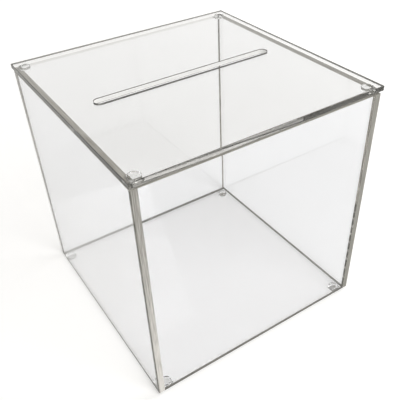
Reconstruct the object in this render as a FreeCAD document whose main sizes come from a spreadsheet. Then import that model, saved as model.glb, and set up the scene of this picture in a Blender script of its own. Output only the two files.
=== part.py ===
import FreeCAD, Part
import math
import os
import Sketcher

# A clear acrylic donation box: a base and four walls bonded edge to face, a loose lid with a slot,
# clear bumpers under the lid's corners that stand on the walls, and bumper feet under the base.
# Millimetres, +Z up. The origin is on the floor under the middle of the box, and the front faces -Y.

# Each driving size: its name, its value and what it measures
SIZES = (
    ("box_width", 200, "outside width over the side walls, along X"),
    ("box_depth", 200, "outside depth over the front and back walls, along Y"),
    ("wall_height", 195, "height of the four walls"),
    ("wall_sheet", 5, "thickness of the wall sheets"),
    ("base_sheet", 3, "thickness of the base sheet"),
    ("lid_sheet", 4, "thickness of the lid sheet"),
    ("lid_overhang", 1, "how far the lid stands proud of the walls all round"),
    ("arris", 0.4, "eased edge on the lid and on the corners of the box"),
    ("slot_length", 150, "slot from end to end, along X"),
    ("slot_width", 8, "slot across, along Y"),
    ("bumper_diameter", 9, "bumper under a corner of the lid"),
    ("bumper_height", 2.2, "how far a bumper holds the lid off the walls"),
    ("bumper_bearing", 2.5, "how far a bumper reaches over the top of each wall that it stands on"),
    ("bumper_round", 0.6, "rounding of a bumper's lower edge"),
    ("foot_diameter", 9, "bumper foot under a corner of the base"),
    ("foot_height", 2.5, "how far a foot lifts the box off the floor"),
    ("foot_margin", 0.5, "from a foot's side to the edge of the base"),
    ("foot_round", 1, "rounding of a foot's lower edge"),
)

# Places that several pieces share
INSIDE_WIDTH = "(Sizes.box_width - 2 * Sizes.wall_sheet)"
INSIDE_DEPTH = "(Sizes.box_depth - 2 * Sizes.wall_sheet)"
WALL_MIDDLE = "Sizes.foot_height + Sizes.wall_height / 2"
LID_UNDERSIDE = "Sizes.foot_height + Sizes.wall_height + Sizes.bumper_height"

# A corner's name, and on which side of the middle it lies along X and Y
CORNERS = (
    ("front_left", -1, -1),
    ("front_right", 1, -1),
    ("back_left", -1, 1),
    ("back_right", 1, 1),
)

LEVEL = 0.001  # an edge that rises less than this is level
START, END, CENTRE = 1, 2, 3  # the points of a sketched line or arc
ORIGIN = (-1, START)  # the sketch's own origin


def make_sheet(doc):
    """Writes the driving sizes into a spreadsheet, one row each."""
    sheet = doc.addObject("Spreadsheet::Sheet", "Sizes")
    for row, (name, value, meaning) in enumerate(SIZES, start=1):
        sheet.set(f"A{row}", name)
        sheet.set(f"B{row}", str(value))
        sheet.setAlias(f"B{row}", name)
        sheet.set(f"C{row}", meaning)
    doc.recompute()


def make_body(doc, name, x="0", y="0", z="0"):
    """Starts one sub-part, placed by three expressions."""
    body = doc.addObject("PartDesign::Body", name)
    body.Label = name
    for axis, place in (("x", x), ("y", y), ("z", z)):
        body.setExpression(f".Placement.Base.{axis}", place)
    return body


def make_sketch(body, name, role):
    """Starts a sketch on one of the body's own origin planes."""
    plane = next(feature for feature in body.Origin.OriginFeatures if feature.Role == role)
    sketch = body.newObject("Sketcher::SketchObject", name)
    sketch.AttachmentSupport = [(plane, "")]
    sketch.MapMode = "FlatFace"
    return sketch


def bind_constraint(sketch, kind, points, name, size):
    """Adds a constraint whose value follows an expression."""
    index = sketch.addConstraint(Sketcher.Constraint(kind, *points, float(sketch.evalExpression(size))))
    sketch.renameConstraint(index, name)
    sketch.setExpression(f"Constraints.{name}", size)


def draw_rectangle(sketch, across, up):
    """Draws a rectangle about the sketch's origin with sides given by two expressions."""
    half_across = float(sketch.evalExpression(across)) / 2
    half_up = float(sketch.evalExpression(up)) / 2
    corners = [
        FreeCAD.Vector(x, y, 0)
        for x, y in (
            (-half_across, -half_up),
            (half_across, -half_up),
            (half_across, half_up),
            (-half_across, half_up),
        )
    ]
    sides = [
        sketch.addGeometry(Part.LineSegment(corner, corners[(n + 1) % len(corners)]))
        for n, corner in enumerate(corners)
    ]
    bottom, right, top, left = sides
    for n, side in enumerate(sides):
        following = sides[(n + 1) % len(sides)]
        sketch.addConstraint(Sketcher.Constraint("Coincident", side, END, following, START))
    for side in (bottom, top):
        sketch.addConstraint(Sketcher.Constraint("Horizontal", side))
    for side in (right, left):
        sketch.addConstraint(Sketcher.Constraint("Vertical", side))
    sketch.addConstraint(Sketcher.Constraint("Symmetric", bottom, START, top, START, *ORIGIN))
    bind_constraint(sketch, "DistanceX", (bottom, START, bottom, END), "across", across)
    bind_constraint(sketch, "DistanceY", (right, START, right, END), "up", up)


def draw_slot(sketch, length, width):
    """Draws a slot with round ends about the sketch's origin, along its first axis."""
    radius = float(sketch.evalExpression(width)) / 2
    reach = float(sketch.evalExpression(length)) / 2 - radius
    up = FreeCAD.Vector(0, 0, 1)
    quarter = math.pi / 2
    left_circle = Part.Circle(FreeCAD.Vector(-reach, 0, 0), up, radius)
    right_circle = Part.Circle(FreeCAD.Vector(reach, 0, 0), up, radius)
    left = sketch.addGeometry(Part.ArcOfCircle(left_circle, quarter, 3 * quarter))
    near = sketch.addGeometry(
        Part.LineSegment(FreeCAD.Vector(-reach, -radius, 0), FreeCAD.Vector(reach, -radius, 0))
    )
    right = sketch.addGeometry(Part.ArcOfCircle(right_circle, -quarter, quarter))
    far = sketch.addGeometry(
        Part.LineSegment(FreeCAD.Vector(reach, radius, 0), FreeCAD.Vector(-reach, radius, 0))
    )
    outline = (left, near, right, far)
    for n, piece in enumerate(outline):
        following = outline[(n + 1) % len(outline)]
        sketch.addConstraint(Sketcher.Constraint("Tangent", piece, END, following, START))
    sketch.addConstraint(Sketcher.Constraint("Equal", left, right))
    sketch.addConstraint(Sketcher.Constraint("Horizontal", near))
    sketch.addConstraint(Sketcher.Constraint("Symmetric", left, CENTRE, right, CENTRE, *ORIGIN))
    bind_constraint(sketch, "Radius", (left,), "end_radius", f"({width}) / 2")
    bind_constraint(
        sketch, "DistanceX", (left, CENTRE, right, CENTRE), "between_centres", f"({length}) - ({width})"
    )


def pad(body, sketch, length, downwards=False):
    """Raises a sketch into a solid by an expression's length."""
    feature = body.newObject("PartDesign::Pad", f"{body.Name}_pad")
    feature.Profile = sketch
    feature.setExpression("Length", length)
    feature.Reversed = downwards
    body.Document.recompute()
    return feature


def edge_names(shape, wanted):
    """The names of the edges that a test picks out."""
    return [f"Edge{n}" for n, edge in enumerate(shape.Edges, start=1) if wanted(edge)]


def ease_edges(body, feature, wanted):
    """Chamfers the picked edges by the arris."""
    chamfer = body.newObject("PartDesign::Chamfer", f"{body.Name}_arris")
    chamfer.Base = (feature, edge_names(feature.Shape, wanted))
    chamfer.setExpression("Size", "Sizes.arris")


def is_level(edge):
    return edge.BoundBox.ZLength < LEVEL


def make_base(doc):
    """The sheet bonded inside the walls, flush with their lower edges."""
    body = make_body(doc, "base_panel", z="Sizes.foot_height")
    sketch = make_sketch(body, "base_outline", "XY_Plane")
    draw_rectangle(sketch, INSIDE_WIDTH, INSIDE_DEPTH)
    pad(body, sketch, "Sizes.base_sheet")
    return body


def make_cross_wall(doc, name, inner_face):
    """A front or back wall, bonded between the side walls. Its sheet lies on the -Y side of inner_face."""
    body = make_body(doc, name, y=inner_face, z=WALL_MIDDLE)
    sketch = make_sketch(body, f"{name}_outline", "XZ_Plane")
    draw_rectangle(sketch, INSIDE_WIDTH, "Sizes.wall_height")
    pad(body, sketch, "Sizes.wall_sheet")
    return body


def make_side_wall(doc, name, low_face, outside):
    """A side wall over the full depth. Its sheet lies on the +X side of low_face, and outside is -1 or 1."""
    body = make_body(doc, name, x=low_face, z=WALL_MIDDLE)
    sketch = make_sketch(body, f"{name}_outline", "YZ_Plane")
    draw_rectangle(sketch, "Sizes.box_depth", "Sizes.wall_height")
    sheet = pad(body, sketch, "Sizes.wall_sheet")
    middle = sheet.Shape.BoundBox.Center.x

    def is_box_corner(edge):
        return not is_level(edge) and (edge.CenterOfMass.x - middle) * outside > 0

    ease_edges(body, sheet, is_box_corner)
    return body


def make_lid(doc):
    """The loose sheet on top, with its slot."""
    body = make_body(doc, "lid_panel", z=LID_UNDERSIDE)
    outline = make_sketch(body, "lid_outline", "XY_Plane")
    draw_rectangle(
        outline,
        "Sizes.box_width + 2 * Sizes.lid_overhang",
        "Sizes.box_depth + 2 * Sizes.lid_overhang",
    )
    sheet = pad(body, outline, "Sizes.lid_sheet")
    slot = make_sketch(body, "slot_outline", "XY_Plane")
    draw_slot(slot, "Sizes.slot_length", "Sizes.slot_width")
    cut = body.newObject("PartDesign::Pocket", "slot_cut")
    cut.Profile = slot
    cut.Type = "ThroughAll"
    cut.Reversed = True
    doc.recompute()
    if cut.Shape.Volume >= sheet.Shape.Volume:
        raise RuntimeError("the slot cuts nothing out of the lid")
    ease_edges(body, cut, is_level)
    return body


def make_disc(doc, name, x, y, seat, diameter, height, rounding):
    """A disc that hangs from a sheet's underside at the height seat, rounded at its lower edge."""
    body = make_body(doc, name, x, y, seat)
    sketch = make_sketch(body, f"{name}_outline", "XY_Plane")
    radius = float(sketch.evalExpression(diameter)) / 2
    circle = sketch.addGeometry(Part.Circle(FreeCAD.Vector(), FreeCAD.Vector(0, 0, 1), radius))
    sketch.addConstraint(Sketcher.Constraint("Coincident", circle, CENTRE, *ORIGIN))
    bind_constraint(sketch, "Diameter", (circle,), "across", diameter)
    solid = pad(body, sketch, height, downwards=True)
    middle = solid.Shape.BoundBox.Center.z

    def is_lower_rim(edge):
        return is_level(edge) and edge.BoundBox.Center.z < middle

    fillet = body.newObject("PartDesign::Fillet", f"{name}_round")
    fillet.Base = (solid, edge_names(solid.Shape, is_lower_rim))
    fillet.setExpression("Radius", rounding)
    return body


def corner_place(side, box_size, diameter, gap):
    """Where a disc's middle lies along one axis: a gap and its own radius from the wall's inner face."""
    return f"{side} * (Sizes.{box_size} / 2 - Sizes.wall_sheet - ({gap}) - Sizes.{diameter} / 2)"


def make_corner_discs(doc, name, kind, seat, gap):
    """One disc under each corner of a sheet, with the sizes of its kind. A gap below 0 laps the walls."""
    diameter = f"{kind}_diameter"
    return [
        make_disc(
            doc,
            f"{name}_{corner}",
            corner_place(x_side, "box_width", diameter, gap),
            corner_place(y_side, "box_depth", diameter, gap),
            seat,
            f"Sizes.{diameter}",
            f"Sizes.{kind}_height",
            f"Sizes.{kind}_round",
        )
        for corner, x_side, y_side in CORNERS
    ]


def build():
    """Makes every sub-part and returns their bodies."""
    doc = FreeCAD.newDocument("donation_box")
    make_sheet(doc)
    bodies = [
        make_base(doc),
        make_cross_wall(doc, "front_wall", "Sizes.wall_sheet - Sizes.box_depth / 2"),
        make_cross_wall(doc, "back_wall", "Sizes.box_depth / 2"),
        make_side_wall(doc, "left_wall", "-Sizes.box_width / 2", -1),
        make_side_wall(doc, "right_wall", "Sizes.box_width / 2 - Sizes.wall_sheet", 1),
        make_lid(doc),
    ]
    bodies += make_corner_discs(doc, "lid_bumper", "bumper", LID_UNDERSIDE, "-Sizes.bumper_bearing")
    bodies += make_corner_discs(doc, "foot", "foot", "Sizes.foot_height", "Sizes.foot_margin")
    doc.recompute()
    return doc, bodies


def check(doc, bodies):
    """Stops before anything is written if an object failed or a sub-part isn't one valid solid."""
    failed = [item.Name for item in doc.Objects if "Invalid" in item.State or "Error" in item.State]
    if failed:
        raise RuntimeError(f"failed objects: {failed}")
    for body in bodies:
        if body.Shape.isNull() or not body.Shape.isValid() or len(body.Shape.Solids) != 1:
            raise RuntimeError(f"{body.Label} isn't one valid solid")


def write(bodies):
    """Writes one STEP file for each sub-part, named by its label."""
    os.makedirs("parts", exist_ok=True)
    for body in bodies:
        body.Shape.exportStep(f"parts/{body.Label}.step")
        box = body.Shape.BoundBox
        print(
            f"{body.Label}: {box.XLength:.2f} x {box.YLength:.2f} x {box.ZLength:.2f} mm,"
            f" z {box.ZMin:.2f} to {box.ZMax:.2f}, {body.Shape.Volume:.0f} mm3"
        )


document, sub_parts = build()
check(document, sub_parts)
write(sub_parts)
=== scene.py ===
import math
from collections import namedtuple

import bmesh
import bpy
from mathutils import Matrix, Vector


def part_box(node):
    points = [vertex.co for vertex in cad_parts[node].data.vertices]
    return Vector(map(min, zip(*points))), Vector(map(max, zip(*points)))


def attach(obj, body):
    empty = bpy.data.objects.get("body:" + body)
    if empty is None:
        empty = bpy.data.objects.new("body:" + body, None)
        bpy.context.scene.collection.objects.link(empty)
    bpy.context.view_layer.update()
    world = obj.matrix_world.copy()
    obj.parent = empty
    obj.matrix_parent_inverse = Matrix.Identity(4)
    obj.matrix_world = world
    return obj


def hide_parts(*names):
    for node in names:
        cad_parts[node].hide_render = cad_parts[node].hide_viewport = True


# A clear acrylic donation box: polished sheets with sawn and satin edges, a loose lid with a slot,
# clear bumpers that hold it off the walls, and bumper feet. Metres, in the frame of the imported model.

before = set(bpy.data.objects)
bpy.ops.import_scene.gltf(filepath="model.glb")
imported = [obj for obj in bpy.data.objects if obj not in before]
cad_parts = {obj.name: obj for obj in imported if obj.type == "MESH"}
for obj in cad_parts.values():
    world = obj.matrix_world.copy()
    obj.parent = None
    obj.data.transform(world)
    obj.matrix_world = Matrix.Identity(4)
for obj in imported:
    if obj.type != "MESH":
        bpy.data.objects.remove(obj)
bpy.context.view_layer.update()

MM = 0.001
X, Y, Z = 0, 1, 2

# Shapes
ARRIS = 0.4 * MM  # eased edges of the lid and the corners
BOND_GAP = 0.02 * MM  # room left between faces that are bonded
REST_GAP = 0.06 * MM  # air under the loose lid's bumpers
SLOT_LENGTH = 150 * MM
SLOT_WIDTH = 8 * MM
BUMPER_ROUNDING = 0.6 * MM
FOOT_ROUNDING = 1 * MM
ARRIS_STEPS = 2  # sides of an eased edge
SLOT_STEPS = 24  # sides of a slot's round end
TURN_STEPS = 72  # sides of a bumper or a foot
ROUND_STEPS = 8  # sides of a bumper's rounded rim
CORNERS = ("front_left", "front_right", "back_left", "back_right")

# How faces and edges are told apart
SQUARE = 0.99  # a face whose normal has this much of one axis is square to it
UPRIGHT = 0.1  # a face whose normal rises less than this is upright
SHARP = 1  # an edge that bends more than this, in radians, is a rim

# Marks on the acrylic, in features per metre
SMUDGES = (22, 22, 22)
RIPPLES = (18, 18, 18)
BUBBLES = (700, 700, 90)
DUST = (1400, 1400, 1400)
SAW_MARKS = (2200, 45)  # across the streaks, and along them
ROUTER_MARKS = (1500, 60)

# Acrylic, floor and light
ACRYLIC_IOR = 1.49
FLOOR_REACH = 4.0  # from the middle to each side
FLOOR_DROP = 0.05 * MM  # keeps the floor clear of the feet
LIGHT_BOUNCES = 48


# Node helpers

def new_material(name):
    """An empty node material and its node tree."""
    material = bpy.data.materials.new(name)
    material.use_nodes = True
    material.node_tree.nodes.clear()
    return material, material.node_tree


def set_surface(tree, shader):
    """Shows a shader on the material's surface."""
    output = tree.nodes.new("ShaderNodeOutputMaterial")
    tree.links.new(shader, output.inputs["Surface"])


def add_node(tree, kind, **inputs):
    """A node with values on its own sockets, or links where an input is another node's socket."""
    node = tree.nodes.new(kind)
    for name, value in inputs.items():
        socket = node.inputs[name.replace("_", " ")]
        if isinstance(value, bpy.types.NodeSocket):
            tree.links.new(value, socket)
        else:
            socket.default_value = value
    return node


def add_math(tree, operation, first, second):
    """A Math node on two sockets, or on a socket and a number."""
    node = tree.nodes.new("ShaderNodeMath")
    node.operation = operation
    tree.links.new(first, node.inputs[0])
    if isinstance(second, bpy.types.NodeSocket):
        tree.links.new(second, node.inputs[1])
    else:
        node.inputs[1].default_value = second
    return node.outputs[0]


def add_noise(tree, scale, detail, shift=(0, 0, 0)):
    """Noise in object space, with its own scale along each axis in features per metre."""
    place = add_node(tree, "ShaderNodeTexCoord")
    mapping = add_node(
        tree, "ShaderNodeMapping", Vector=place.outputs["Object"], Location=shift, Scale=scale
    )
    noise = add_node(
        tree, "ShaderNodeTexNoise", Vector=mapping.outputs[0], Scale=1.0, Detail=detail, Roughness=0.6
    )
    return noise.outputs["Fac"]


def add_ramp(tree, factor, first_stop, last_stop):
    """A colour ramp over a factor, between two stops of a position and a colour."""
    ramp = tree.nodes.new("ShaderNodeValToRGB")
    for element, (position, colour) in zip(ramp.color_ramp.elements, (first_stop, last_stop)):
        element.position = position
        element.color = (*colour, 1)
    tree.links.new(factor, ramp.inputs[0])
    return ramp.outputs["Color"]


def add_facing(tree):
    """How far a face turns from the viewer: 0 face on, 1 edge on."""
    return add_node(tree, "ShaderNodeLayerWeight", Blend=0.5).outputs["Facing"]


def mix_shaders(tree, share, first, second):
    """Mixes two shader nodes by the share of the second."""
    mix = add_node(tree, "ShaderNodeMixShader", Fac=share)
    tree.links.new(first.outputs[0], mix.inputs[1])
    tree.links.new(second.outputs[0], mix.inputs[2])
    return mix.outputs[0]


def grey(value):
    return (value, value, value)


def streak_scale(along, across_count, along_count):
    """The scale of a noise that is drawn out into streaks along one axis."""
    scale = [across_count, across_count, across_count]
    scale[along] = along_count
    return scale


# Materials

def smudged_gloss(tree, most):
    """Roughness that rises from a perfect polish to faint smudges."""
    smudge = add_noise(tree, SMUDGES, detail=5.0)
    return add_ramp(tree, smudge, (0.5, grey(0.0)), (0.8, grey(most)))


def polished_acrylic(name, colour, shine):
    """Clear cast sheet with faint smudges and a slow ripple. Lamps and scattered light pass straight on."""
    material, tree = new_material(name)
    ripple = add_noise(tree, RIPPLES, detail=1.0)
    bump = add_node(tree, "ShaderNodeBump", Height=ripple, Strength=0.05, Distance=0.5 * MM)
    sheet = add_node(
        tree,
        "ShaderNodeBsdfPrincipled",
        Base_Color=(*colour, 1),
        Roughness=smudged_gloss(tree, 0.05),
        IOR=ACRYLIC_IOR,
        Specular_IOR_Level=shine,
        Transmission_Weight=1.0,
        Normal=bump.outputs[0],
    )
    path = add_node(tree, "ShaderNodeLightPath")
    straight = add_math(tree, "MAXIMUM", path.outputs["Is Shadow Ray"], path.outputs["Is Diffuse Ray"])
    through = add_node(tree, "ShaderNodeBsdfTransparent", Color=(*grey(0.99), 1))
    set_surface(tree, mix_shaders(tree, straight, sheet, through))
    return material


def thin_acrylic(name, colour):
    """A sheet seen face on: clear, with a gloss that grows towards the horizon."""
    material, tree = new_material(name)
    share = add_ramp(tree, add_facing(tree), (0.3, grey(0.04)), (1.0, grey(0.6)))
    clear = add_node(tree, "ShaderNodeBsdfTransparent", Color=(*colour, 1))
    gloss = add_node(
        tree, "ShaderNodeBsdfGlossy", Color=(*grey(1.0), 1), Roughness=smudged_gloss(tree, 0.1)
    )
    set_surface(tree, mix_shaders(tree, share, clear, gloss))
    return material


def bond(name, colour, haze):
    """A solvent weld: clear, with a haze of tiny bubbles."""
    material, tree = new_material(name)
    specks = add_noise(tree, BUBBLES, detail=2.0)
    tint = add_ramp(tree, specks, (0.35, colour), (0.7, haze))
    through = add_node(tree, "ShaderNodeBsdfTransparent", Color=tint)
    set_surface(tree, through.outputs[0])
    return material


def machined_edge(name, along, dark, light, lets_through=0.0, painted_floor_light=0.0):
    """A sawn edge with fine streaks along one axis.

    It lets a share of the lamps' light through, and can grade from light below to dark at the top, which is
    painted floor light below and painted shade above.
    """
    material, tree = new_material(name)
    streaks = add_noise(tree, streak_scale(along, *SAW_MARKS), detail=4.0)
    # Painted light: the tone is lifted low down and lowered at the top by the height, for the floor's bounce
    # light and the shade above
    place = add_node(tree, "ShaderNodeTexCoord")
    height = add_node(tree, "ShaderNodeSeparateXYZ", Vector=place.outputs["Generated"]).outputs["Z"]
    lowered = add_math(tree, "SUBTRACT", streaks, add_math(tree, "MULTIPLY", height, painted_floor_light))
    tone = add_math(tree, "ADD", lowered, painted_floor_light / 2)
    bump = add_node(tree, "ShaderNodeBump", Height=streaks, Strength=0.2, Distance=0.2 * MM)
    sawn = add_node(
        tree,
        "ShaderNodeBsdfPrincipled",
        Base_Color=add_ramp(tree, tone, (0.32, dark), (0.68, light)),
        Roughness=0.5,
        Specular_IOR_Level=0.0,
        Normal=bump.outputs[0],
    )
    path = add_node(tree, "ShaderNodeLightPath")
    share = add_math(tree, "MULTIPLY", path.outputs["Is Shadow Ray"], lets_through)
    through = add_node(tree, "ShaderNodeBsdfTransparent")
    set_surface(tree, mix_shaders(tree, share, sawn, through))
    return material


def machined_pair(name, dark, light, lets_through=0.0):
    """A sawn edge with streaks along X, and one with streaks along Y."""
    return [
        machined_edge(f"{name}_{letter}", axis, dark, light, lets_through)
        for axis, letter in ((X, "x"), (Y, "y"))
    ]


def painted_reflection_edge(name, along, streak, dark, light, shift=(0, 0, 0)):
    """A polished edge with painted shade and painted reflection: a dark to light ramp in streaks of one
    length and height along it.
    """
    material, tree = new_material(name)
    length, height = streak
    streaks = add_noise(tree, streak_scale(along, 1 / height, 1 / length), detail=3.0, shift=shift)
    bump = add_node(tree, "ShaderNodeBump", Height=streaks, Strength=0.06, Distance=0.1 * MM)
    edge = add_node(
        tree,
        "ShaderNodeBsdfPrincipled",
        Base_Color=add_ramp(tree, streaks, (0.35, dark), (0.65, light)),
        Roughness=0.06,
        IOR=ACRYLIC_IOR,
        Transmission_Weight=1.0,
        Normal=bump.outputs[0],
    )
    set_surface(tree, edge.outputs[0])
    return material


def routed_edge(name, along, pale, dark):
    """A routed satin edge: pale from the air, and from inside the sheet clear face on but painted dark
    aslant, a painted shade.
    """
    material, tree = new_material(name)
    inside = add_node(tree, "ShaderNodeNewGeometry").outputs["Backfacing"]
    streaks = add_noise(tree, streak_scale(along, *ROUTER_MARKS), detail=3.0)
    streaks_share = 0.4
    # Seen from inside the sheet the tone shifts to the dark colour: painted shade
    side = add_math(tree, "MULTIPLY", inside, 1 - streaks_share)
    tone = add_math(tree, "ADD", add_math(tree, "MULTIPLY", streaks, streaks_share), side)
    satin = add_node(
        tree,
        "ShaderNodeBsdfPrincipled",
        Base_Color=add_ramp(tree, tone, (0.15, pale), (0.85, dark)),
        Roughness=0.4,
        Specular_IOR_Level=0.0,
    )
    face_on = add_ramp(tree, add_facing(tree), (0.25, grey(1.0)), (0.45, grey(0.0)))
    through = add_node(tree, "ShaderNodeBsdfTransparent", Color=(0.95, 0.95, 0.94, 1))
    set_surface(tree, mix_shaders(tree, add_math(tree, "MULTIPLY", face_on, inside), satin, through))
    return material


def bumper_rubber():
    """Soft clear bumper, slightly hazy, with specks of dust, and darker where it is seen aslant, a painted
    shade.
    """
    material, tree = new_material("bumper_rubber")
    dust_share = 0.4
    dust = add_math(tree, "MULTIPLY", add_noise(tree, DUST, detail=3.0), dust_share)
    # Dust specks, and painted shade that darkens the rim seen aslant
    dust_and_rim_shade = add_math(tree, "ADD", dust, add_math(tree, "MULTIPLY", add_facing(tree), 1 - dust_share))
    rubber = add_node(
        tree,
        "ShaderNodeBsdfPrincipled",
        Base_Color=add_ramp(tree, dust_and_rim_shade, (0.32, (0.93, 0.93, 0.91)), (0.66, (0.1, 0.1, 0.09))),
        Roughness=0.05,
        IOR=ACRYLIC_IOR,
        Transmission_Weight=0.95,
    )
    set_surface(tree, rubber.outputs[0])
    return material


# Sheets and welds
WALL_SHEET = polished_acrylic("wall_acrylic", (0.91, 0.915, 0.925), shine=0.2)
LID_SHEET = polished_acrylic("lid_acrylic", (1.0, 1.0, 0.995), shine=0.5)
BASE_SHEET = thin_acrylic("base_acrylic", (0.99, 0.99, 0.993))
CLEAR_BOND = bond("clear_bond", grey(1.0), haze=grey(0.93))
CORNER_BOND = bond("corner_bond", (0.82, 0.81, 0.79), haze=(0.6, 0.59, 0.56))

# Edges of the walls
SAWN_TOP = machined_pair("sawn_top", (0.25, 0.24, 0.215), (0.5, 0.485, 0.45))
# The sawn bottoms are painted dark: painted shade for the little light that reaches them through the walls
SAWN_UNDER_SHADE = machined_pair("sawn_under_shade", (0.09, 0.087, 0.075), (0.23, 0.225, 0.2), lets_through=0.8)
# The back wall's top: the sawn edge painted pale, a painted light
PAINTED_LIGHT_TOP = machined_edge("painted_light_top", X, (0.8, 0.8, 0.79), (0.97, 0.97, 0.96))
# The ends are painted lighter below and darker at the top: painted floor light and painted shade
SAWN_END = machined_edge("sawn_end", Z, (0.27, 0.262, 0.24), (0.76, 0.74, 0.7), painted_floor_light=0.32)
DARKER_END = machined_edge("darker_end", Z, (0.2, 0.195, 0.175), (0.44, 0.43, 0.395))
# The eased corners are painted dark: painted shade for the dark that the rounded arris refracts
CORNER_ARRIS_SHADE = machined_edge("corner_arris_shade", Z, (0.12, 0.115, 0.1), (0.3, 0.29, 0.26))

# Edges of the lid
# Each side of the lid's edge has its own tone: painted shade on the left, right and back, and painted
# reflection on the front
LID_LEFT = painted_reflection_edge(
    "lid_left", Y, (30 * MM, 0.7 * MM), (0.04, 0.039, 0.033), (0.11, 0.108, 0.095)
)
LID_RIGHT = machined_edge("lid_right", Y, (0.2, 0.197, 0.185), (0.42, 0.413, 0.395))
# The front's light and dark streaks are a painted reflection, placed along it by the shift
LID_FRONT = painted_reflection_edge(
    "lid_front", X, (60 * MM, 3 * MM), (0.05, 0.049, 0.043), (0.6, 0.59, 0.555), shift=(3.3, 11, 1.2)
)
LID_BACK = machined_edge("lid_back", X, (0.13, 0.127, 0.115), (0.32, 0.315, 0.295))
# The slot's walls: pale satin from the air, painted shade from inside the lid
SLOT_EDGE = routed_edge("slot_edge", X, (0.95, 0.95, 0.94), (0.05, 0.05, 0.045))
# The slot's rims are painted dark: painted shade
SLOT_RIM_SHADE = machined_edge("slot_rim_shade", X, (0.08, 0.078, 0.07), (0.2, 0.195, 0.175))

RUBBER = bumper_rubber()

# The materials of each kind of piece
WALL_FINISH = [
    WALL_SHEET,
    CLEAR_BOND,
    CORNER_BOND,
    *SAWN_TOP,
    *SAWN_UNDER_SHADE,
    PAINTED_LIGHT_TOP,
    SAWN_END,
    DARKER_END,
    CORNER_ARRIS_SHADE,
]
BASE_FINISH = [BASE_SHEET, CLEAR_BOND]
LID_FINISH = [LID_SHEET, CLEAR_BOND, LID_LEFT, LID_RIGHT, LID_FRONT, LID_BACK, SLOT_EDGE, SLOT_RIM_SHADE]
BUMPER_FINISH = [RUBBER, CLEAR_BOND]
BONDED = 1  # where the clear weld stands in the finishes of the base, the lid and the bumpers


# Pieces

def add_piece(name, mesh, body, node, materials):
    """Puts a finished mesh into the scene in place of a CAD node."""
    data = bpy.data.meshes.new(name)
    mesh.to_mesh(data)
    mesh.free()
    for material in materials:
        data.materials.append(material)
    piece = bpy.data.objects.new(name, data)
    bpy.context.scene.collection.objects.link(piece)
    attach(piece, body)
    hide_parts(node)


def main_axis(vector):
    """The axis along which a vector is longest."""
    return max((X, Y, Z), key=lambda axis: abs(vector[axis]))


def ease(mesh, edges):
    """Rounds edges by the arris."""
    bmesh.ops.bevel(
        mesh,
        geom=edges,
        offset=ARRIS,
        offset_type="OFFSET",
        segments=ARRIS_STEPS,
        profile=0.5,
        affect="EDGES",
    )
    mesh.normal_update()


# Each wall: its node, the axes of its thickness and its length, the side of the box that it is on,
# and whether it is fitted between the other two walls
Wall = namedtuple("Wall", "node thin_axis long_axis side fitted")
WALLS = (
    Wall("front_wall", Y, X, -1, True),
    Wall("back_wall", Y, X, 1, True),
    Wall("left_wall", X, Y, -1, False),
    Wall("right_wall", X, Y, 1, False),
)


def box_mesh(low, high):
    """A plain box between two corners."""
    mesh = bmesh.new()
    bmesh.ops.create_cube(mesh, size=1)
    middle = (low + high) / 2
    for vertex in mesh.verts:
        vertex.co = Vector(middle[axis] + vertex.co[axis] * (high[axis] - low[axis]) for axis in (X, Y, Z))
    return mesh


def ease_box_corners(mesh, wall, middle):
    """Rounds the upright edges of a wall's outer face."""
    corners = [
        edge
        for edge in mesh.edges
        if main_axis(edge.verts[1].co - edge.verts[0].co) == Z
        and (edge.verts[0].co[wall.thin_axis] - middle[wall.thin_axis]) * wall.side > 0
    ]
    ease(mesh, corners)


def divide_faces(mesh, axis, place):
    """Divides the faces that cross a plane square to an axis."""
    point = Vector((0, 0, 0))
    point[axis] = place
    normal = Vector((0, 0, 0))
    normal[axis] = 1
    geometry = mesh.verts[:] + mesh.edges[:] + mesh.faces[:]
    bmesh.ops.bisect_plane(mesh, geom=geometry, plane_co=point, plane_no=normal)


def wall_finish(wall, face, base_high):
    """The finish of one face: clear where it is bonded to the base or to a wall, and sawn at an open edge."""
    centre = face.calc_center_bounds()
    facing = main_axis(face.normal)
    inner = facing == wall.thin_axis and face.normal[wall.thin_axis] * wall.side < 0
    beside_wall = inner and abs(centre[wall.long_axis]) > base_high[wall.long_axis]
    if beside_wall or (wall.fitted and facing == wall.long_axis):
        return CORNER_BOND
    if inner and centre.z < base_high.z:
        return CLEAR_BOND
    # The eased corner: a dark line of painted shade
    if abs(face.normal[facing]) < SQUARE:
        return CORNER_ARRIS_SHADE
    if facing == wall.thin_axis:
        return WALL_SHEET
    if facing == wall.long_axis:
        # The right wall's front end is darker than the other ends
        is_darker_end = wall.node == "right_wall" and face.normal.y < 0
        return DARKER_END if is_darker_end else SAWN_END
    # The sawn bottom, painted dark as painted shade
    if face.normal.z < 0:
        return SAWN_UNDER_SHADE[wall.long_axis]
    # The back wall's top is the same sawn edge painted pale, a painted light, because no dark line shows
    # there through the lid
    return PAINTED_LIGHT_TOP if wall.node == "back_wall" else SAWN_TOP[wall.long_axis]


def make_wall(wall):
    """One wall, with its faces divided where the bonds end."""
    low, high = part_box(wall.node)
    base_low, base_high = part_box("base_panel")
    dividers = [(Z, base_high.z)]
    if wall.fitted:
        low[wall.long_axis] += BOND_GAP
        high[wall.long_axis] -= BOND_GAP
    else:
        dividers += [(wall.long_axis, end[wall.long_axis]) for end in (base_low, base_high)]
    mesh = box_mesh(low, high)
    if not wall.fitted:
        ease_box_corners(mesh, wall, (low + high) / 2)
    for axis, place in dividers:
        divide_faces(mesh, axis, place)
    mesh.normal_update()
    for face in mesh.faces:
        face.material_index = WALL_FINISH.index(wall_finish(wall, face, base_high))
    add_piece(f"{wall.node}_acrylic", mesh, "box", wall.node, WALL_FINISH)


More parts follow.
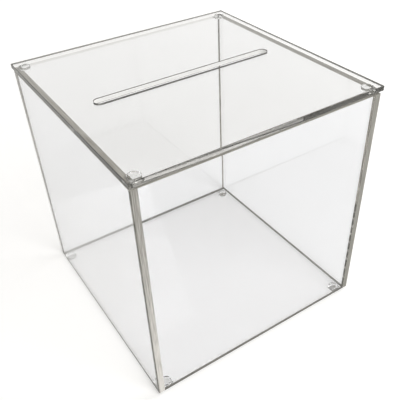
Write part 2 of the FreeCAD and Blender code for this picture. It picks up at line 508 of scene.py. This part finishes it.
def circle(centre, radius):
    """A ring of points, anticlockwise."""
    points = []
    for step in range(TURN_STEPS):
        angle = 2 * math.pi * step / TURN_STEPS
        points.append((centre.x + radius * math.cos(angle), centre.y + radius * math.sin(angle)))
    return points


def slot_outline():
    """The slot's outline about the origin, anticlockwise."""
    radius = SLOT_WIDTH / 2
    reach = SLOT_LENGTH / 2 - radius
    points = []
    for side, start in ((1, -math.pi / 2), (-1, math.pi / 2)):
        for step in range(SLOT_STEPS + 1):
            angle = start + math.pi * step / SLOT_STEPS
            points.append((side * reach + radius * math.cos(angle), radius * math.sin(angle)))
    return points


def add_ring(mesh, outline, height):
    """A closed ring of vertices and its edges."""
    ring = [mesh.verts.new((x, y, height)) for x, y in outline]
    edges = [mesh.edges.new((ring[n - 1], ring[n])) for n in range(len(ring))]
    return ring, edges


def make_plate(low, high, holes, bonded_nodes):
    """A level plate with holes through it, and clear round patches on its underside at bonded nodes."""
    mesh = bmesh.new()
    outline = [(low.x, low.y), (high.x, low.y), (high.x, high.y), (low.x, high.y)]
    outlines = [outline, *holes]
    lower = [add_ring(mesh, points, low.z) for points in outlines]
    upper = [add_ring(mesh, points, high.z) for points in outlines]
    patches = []
    for node in bonded_nodes:
        node_low, node_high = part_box(node)
        centre = (node_low + node_high) / 2
        patches.append(add_ring(mesh, circle(centre, (node_high.x - node_low.x) / 2), low.z))
    for rings in (lower + patches, upper):
        edges = [edge for _, ring_edges in rings for edge in ring_edges]
        bmesh.ops.triangle_fill(mesh, use_beauty=True, use_dissolve=False, edges=edges)
    for ring, _ in patches:
        mesh.faces.new(ring).material_index = BONDED
    for (below, _), (above, _) in zip(lower, upper):
        for n in range(len(below)):
            mesh.faces.new((below[n - 1], below[n], above[n], above[n - 1]))
    bmesh.ops.recalc_face_normals(mesh, faces=mesh.faces[:])
    mesh.normal_update()
    return mesh


def make_base():
    """The base: clear welds on its four edges, and under it at the feet."""
    low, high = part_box("base_panel")
    inset = Vector((BOND_GAP, BOND_GAP, 0))
    mesh = make_plate(low + inset, high - inset, [], [f"foot_{corner}" for corner in CORNERS])
    for face in mesh.faces:
        if main_axis(face.normal) != Z:
            face.material_index = BONDED
    add_piece("base_panel_acrylic", mesh, "box", "base_panel", BASE_FINISH)


def lid_edge_finish(face):
    """The finish of a face on the lid's outer edge or in its slot."""
    centre = face.calc_center_median()
    along_slot = abs(centre.x) < SLOT_LENGTH / 2 + 2 * ARRIS
    across_slot = abs(centre.y) < SLOT_WIDTH / 2 + 2 * ARRIS
    if along_slot and across_slot:
        return SLOT_EDGE if abs(face.normal.z) < UPRIGHT else SLOT_RIM_SHADE
    if main_axis(face.normal) == X:
        return LID_LEFT if centre.x < 0 else LID_RIGHT
    return LID_FRONT if centre.y < 0 else LID_BACK


def make_lid():
    """The loose lid: a sheet with a round-ended slot through it and eased edges."""
    low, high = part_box("lid_panel")
    mesh = make_plate(low, high, [slot_outline()], [f"lid_bumper_{corner}" for corner in CORNERS])
    rims = [
        edge
        for edge in mesh.edges
        if edge.calc_face_angle() > SHARP and abs(edge.verts[0].co.z - edge.verts[1].co.z) < ARRIS
    ]
    ease(mesh, rims)
    for face in mesh.faces:
        if abs(face.normal.z) <= SQUARE:
            face.material_index = LID_FINISH.index(lid_edge_finish(face))
    add_piece("lid_panel_acrylic", mesh, "lid", "lid_panel", LID_FINISH)


def make_bumper(node, body, rounding, lift):
    """A round bumper with a rounded lower rim, and a clear top where it is stuck on.

    Its underside is raised by lift, to leave air under it.
    """
    low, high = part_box(node)
    low.z += lift
    top = high.z - BOND_GAP
    middle = (low + high) / 2
    radius = (high.x - low.x) / 2
    profile = []
    for step in range(ROUND_STEPS + 1):
        angle = math.pi / 2 * step / ROUND_STEPS
        profile.append(
            (radius - rounding + rounding * math.sin(angle), low.z + rounding - rounding * math.cos(angle))
        )
    profile.append((radius, top))
    mesh = bmesh.new()
    rings = [[mesh.verts.new((x, y, z)) for x, y in circle(middle, r)] for r, z in profile]
    for lower, upper in zip(rings, rings[1:]):
        for n in range(TURN_STEPS):
            face = mesh.faces.new((lower[n - 1], lower[n], upper[n], upper[n - 1]))
            face.smooth = True
    mesh.faces.new(rings[0])
    mesh.faces.new(rings[-1]).material_index = BONDED
    bmesh.ops.recalc_face_normals(mesh, faces=mesh.faces[:])
    add_piece(f"{node}_rubber", mesh, body, node, BUMPER_FINISH)


make_base()
for wall in WALLS:
    make_wall(wall)
make_lid()
for corner in CORNERS:
    make_bumper(f"lid_bumper_{corner}", "lid", BUMPER_ROUNDING, REST_GAP)
    make_bumper(f"foot_{corner}", "box", FOOT_ROUNDING, 0)


# Floor, light and camera

def seen_ray(tree):
    """How much of the floor's fill-in a ray sees: all of it straight or through a piece, some mirrored."""
    path = add_node(tree, "ShaderNodeLightPath")
    reflected = add_math(tree, "MULTIPLY", path.outputs["Is Glossy Ray"], 0.2)
    bounced = add_math(tree, "MAXIMUM", reflected, path.outputs["Is Transmission Ray"])
    return add_math(tree, "MAXIMUM", path.outputs["Is Camera Ray"], bounced)


def floor_paper():
    """White paper that fills up to white where the camera sees it, and keeps the box's shadow."""
    material, tree = new_material("floor_paper")
    paper = add_node(tree, "ShaderNodeBsdfDiffuse", Color=(*grey(0.86), 1))
    place = add_node(tree, "ShaderNodeTexCoord")
    away = tree.nodes.new("ShaderNodeVectorMath")
    away.operation = "LENGTH"
    tree.links.new(place.outputs["Object"], away.inputs[0])
    distance = add_math(tree, "DIVIDE", away.outputs["Value"], FLOOR_REACH)
    fill_in = add_ramp(tree, distance, (0.06, grey(0.26)), (0.5, grey(0.6)))
    strength = add_math(tree, "MULTIPLY", seen_ray(tree), fill_in)
    glow = add_node(tree, "ShaderNodeEmission", Color=(*grey(1.0), 1), Strength=strength)
    both = tree.nodes.new("ShaderNodeAddShader")
    tree.links.new(paper.outputs[0], both.inputs[0])
    tree.links.new(glow.outputs[0], both.inputs[1])
    set_surface(tree, both.outputs[0])
    return material


def make_floor():
    """A plain square floor just under the feet."""
    mesh = bmesh.new()
    corners = [
        mesh.verts.new((x * FLOOR_REACH, y * FLOOR_REACH, 0))
        for x, y in ((-1, -1), (1, -1), (1, 1), (-1, 1))
    ]
    mesh.faces.new(corners)
    data = bpy.data.meshes.new("floor")
    mesh.to_mesh(data)
    mesh.free()
    data.materials.append(floor_paper())
    floor = bpy.data.objects.new("floor", data)
    floor.location.z = -FLOOR_DROP
    bpy.context.scene.collection.objects.link(floor)


def make_world():
    """A white horizon under a greyer ceiling."""
    world = bpy.data.worlds.new("studio")
    bpy.context.scene.world = world
    world.use_nodes = True
    tree = world.node_tree
    tree.nodes.clear()
    output = tree.nodes.new("ShaderNodeOutputWorld")
    place = add_node(tree, "ShaderNodeTexCoord")
    split = add_node(tree, "ShaderNodeSeparateXYZ", Vector=place.outputs["Generated"])
    colour = add_ramp(tree, split.outputs["Z"], (0.2, grey(1.0)), (0.5, (0.33, 0.32, 0.30)))
    background = add_node(tree, "ShaderNodeBackground", Color=colour, Strength=1.0)
    tree.links.new(background.outputs[0], output.inputs["Surface"])


def add_lamp(name, place, target, size, power, colour):
    """A square soft lamp that faces a target."""
    lamp = bpy.data.lights.new(name, "AREA")
    lamp.shape = "SQUARE"
    lamp.size = size
    lamp.energy = power
    lamp.color = colour
    holder = bpy.data.objects.new(name, lamp)
    holder.location = place
    holder.rotation_euler = (Vector(target) - Vector(place)).to_track_quat("-Z", "Y").to_euler()
    bpy.context.scene.collection.objects.link(holder)


def make_camera():
    """The camera at the photograph's viewing angle."""
    camera = bpy.data.cameras.new("camera")
    camera.sensor_width = 36
    camera.lens = 49.403
    camera.shift_x = -0.027
    camera.shift_y = 0.04
    camera.clip_start = 0.01
    holder = bpy.data.objects.new("camera", camera)
    holder.location = (-0.19553, -0.33287, 0.3773)
    holder.rotation_euler = [math.radians(angle) for angle in (51.1725, 1.5906, -33.8341)]
    bpy.context.scene.collection.objects.link(holder)
    bpy.context.scene.camera = holder


make_floor()
make_world()
add_lamp("key", (0.3, -2.0, 2.4), target=(0, 0, 0.1), size=1.6, power=45, colour=grey(1))
add_lamp("fill", (2.4, -0.3, 2.4), target=(0.2, 0.2, 0.1), size=1.6, power=36, colour=(1, 0.985, 0.965))
make_camera()

scene = bpy.context.scene
scene.view_settings.view_transform = "Standard"
scene.cycles.max_bounces = LIGHT_BOUNCES
scene.cycles.glossy_bounces = LIGHT_BOUNCES
scene.cycles.transmission_bounces = LIGHT_BOUNCES
scene.cycles.transparent_max_bounces = LIGHT_BOUNCES
